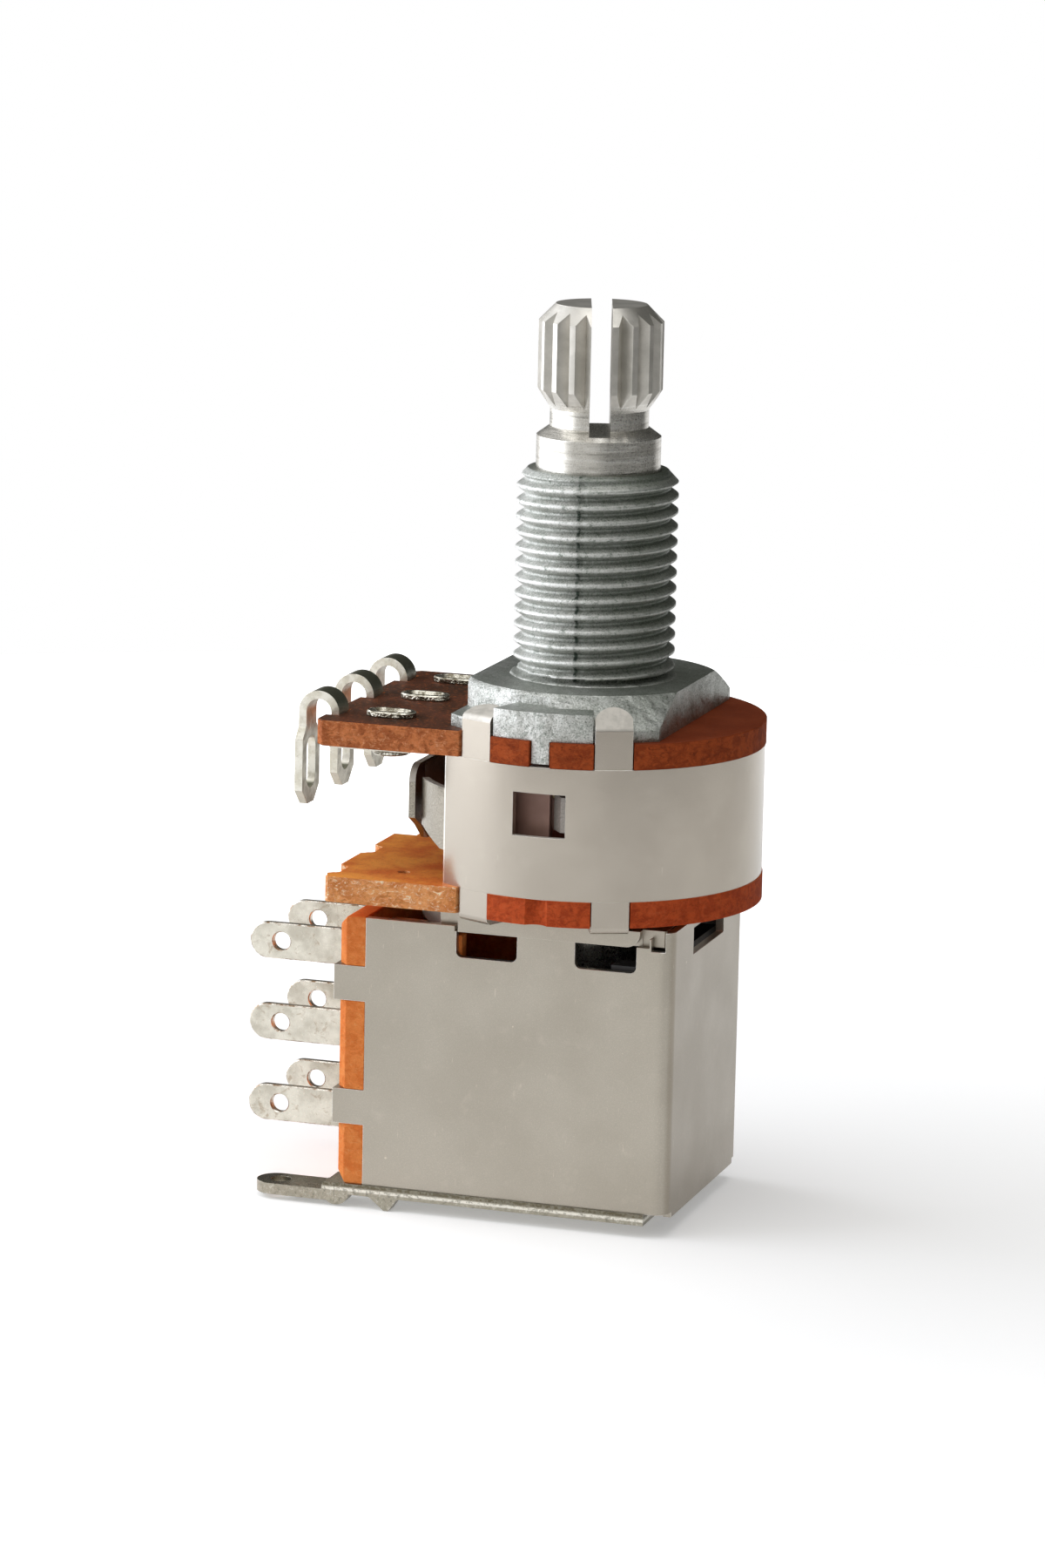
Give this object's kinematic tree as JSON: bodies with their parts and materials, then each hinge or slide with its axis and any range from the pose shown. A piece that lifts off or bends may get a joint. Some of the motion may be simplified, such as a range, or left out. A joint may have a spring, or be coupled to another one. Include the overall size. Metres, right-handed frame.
{
  "type": "rotary potentiometer",
  "caption": "Panel-mount rotary potentiometer with threaded bushing, split knurled shaft, looped solder terminals and a push-pull switch in a folded metal frame below.",
  "frame": {"origin": "shaft axis at the bushing's seat face, the plane that meets the underside of the panel", "axes": "+Z along the shaft, out of the bushing; -X towards the solder lugs; +X towards the closed side of the switch; -Y the side with the can's window that faces the picture"},
  "size_m": [0.0248, 0.0168, 0.044],
  "materials": {
    "cast_zinc": "die-cast, dull, slightly mottled",
    "turned_metal": "turned, satin",
    "spring_steel": "bright rolled",
    "brown_laminate": "phenolic paper laminate, dark top, orange-brown sheared edge",
    "carbon_ink": "matt printed film",
    "silver_ink": "matt printed film",
    "tinned_metal": "tin-plated, satin",
    "brown_plastic": "moulded, semi-matt",
    "contact_metal": "rolled spring bronze",
    "nickel_steel": "nickel-plated, smooth satin",
    "orange_laminate": "phenolic paper laminate, fibrous sheared edge",
    "plain_steel": "plated, satin",
    "frame_steel": "nickel-plated, satin with faint scratches",
    "orange_board": "phenolic laminate, faintly mottled",
    "black_plastic": "moulded, semi-matt"
  },
  "bodies": {
    "housing": {"bushing": "cast_zinc", "upper_wafer": "brown_laminate", "carbon_track": "carbon_ink", "silver_print": "silver_ink", "terminal_1": "tinned_metal", "terminal_2": "tinned_metal", "terminal_3": "tinned_metal", "terminal_rivets": "tinned_metal", "can": "nickel_steel", "lower_wafer": "orange_laminate", "seat_plate": "frame_steel", "switch_frame": "frame_steel", "terminal_board": "orange_board", "switch_lug_1": "tinned_metal", "switch_lug_2": "tinned_metal", "switch_lug_3": "tinned_metal", "switch_lug_4": "tinned_metal", "switch_lug_5": "tinned_metal", "switch_lug_6": "tinned_metal", "guide_frame": "black_plastic", "detent_spring": "spring_steel", "base_plate": "frame_steel"},
    "plunger": {"slider": "black_plastic", "front_contact": "contact_metal", "rear_contact": "contact_metal"},
    "spindle": {"shaft": "turned_metal", "shaft_clip": "spring_steel"},
    "rotor_set": {"rotor": "brown_plastic", "wiper": "contact_metal"}
  },
  "joints": [
    {"name": "push_pull", "type": "slide", "parent": "housing", "child": "plunger", "axis": [0, 0, 1], "range_m": [0, 0.0041]},
    {"name": "shaft_turn", "type": "hinge", "parent": "plunger", "child": "spindle", "pos_m": [0, 0, 0], "axis": [0, 0, 1], "range_deg": [-300, 0]},
    {"name": "rotor_turn", "type": "hinge", "parent": "housing", "child": "rotor_set", "pos_m": [0, 0, -0.0063], "axis": [0, 0, 1], "range_deg": [-300, 0]}
  ],
  "couplings": [
    {"joint": "rotor_turn", "follows": "shaft_turn", "ratio": 1}
  ]
}
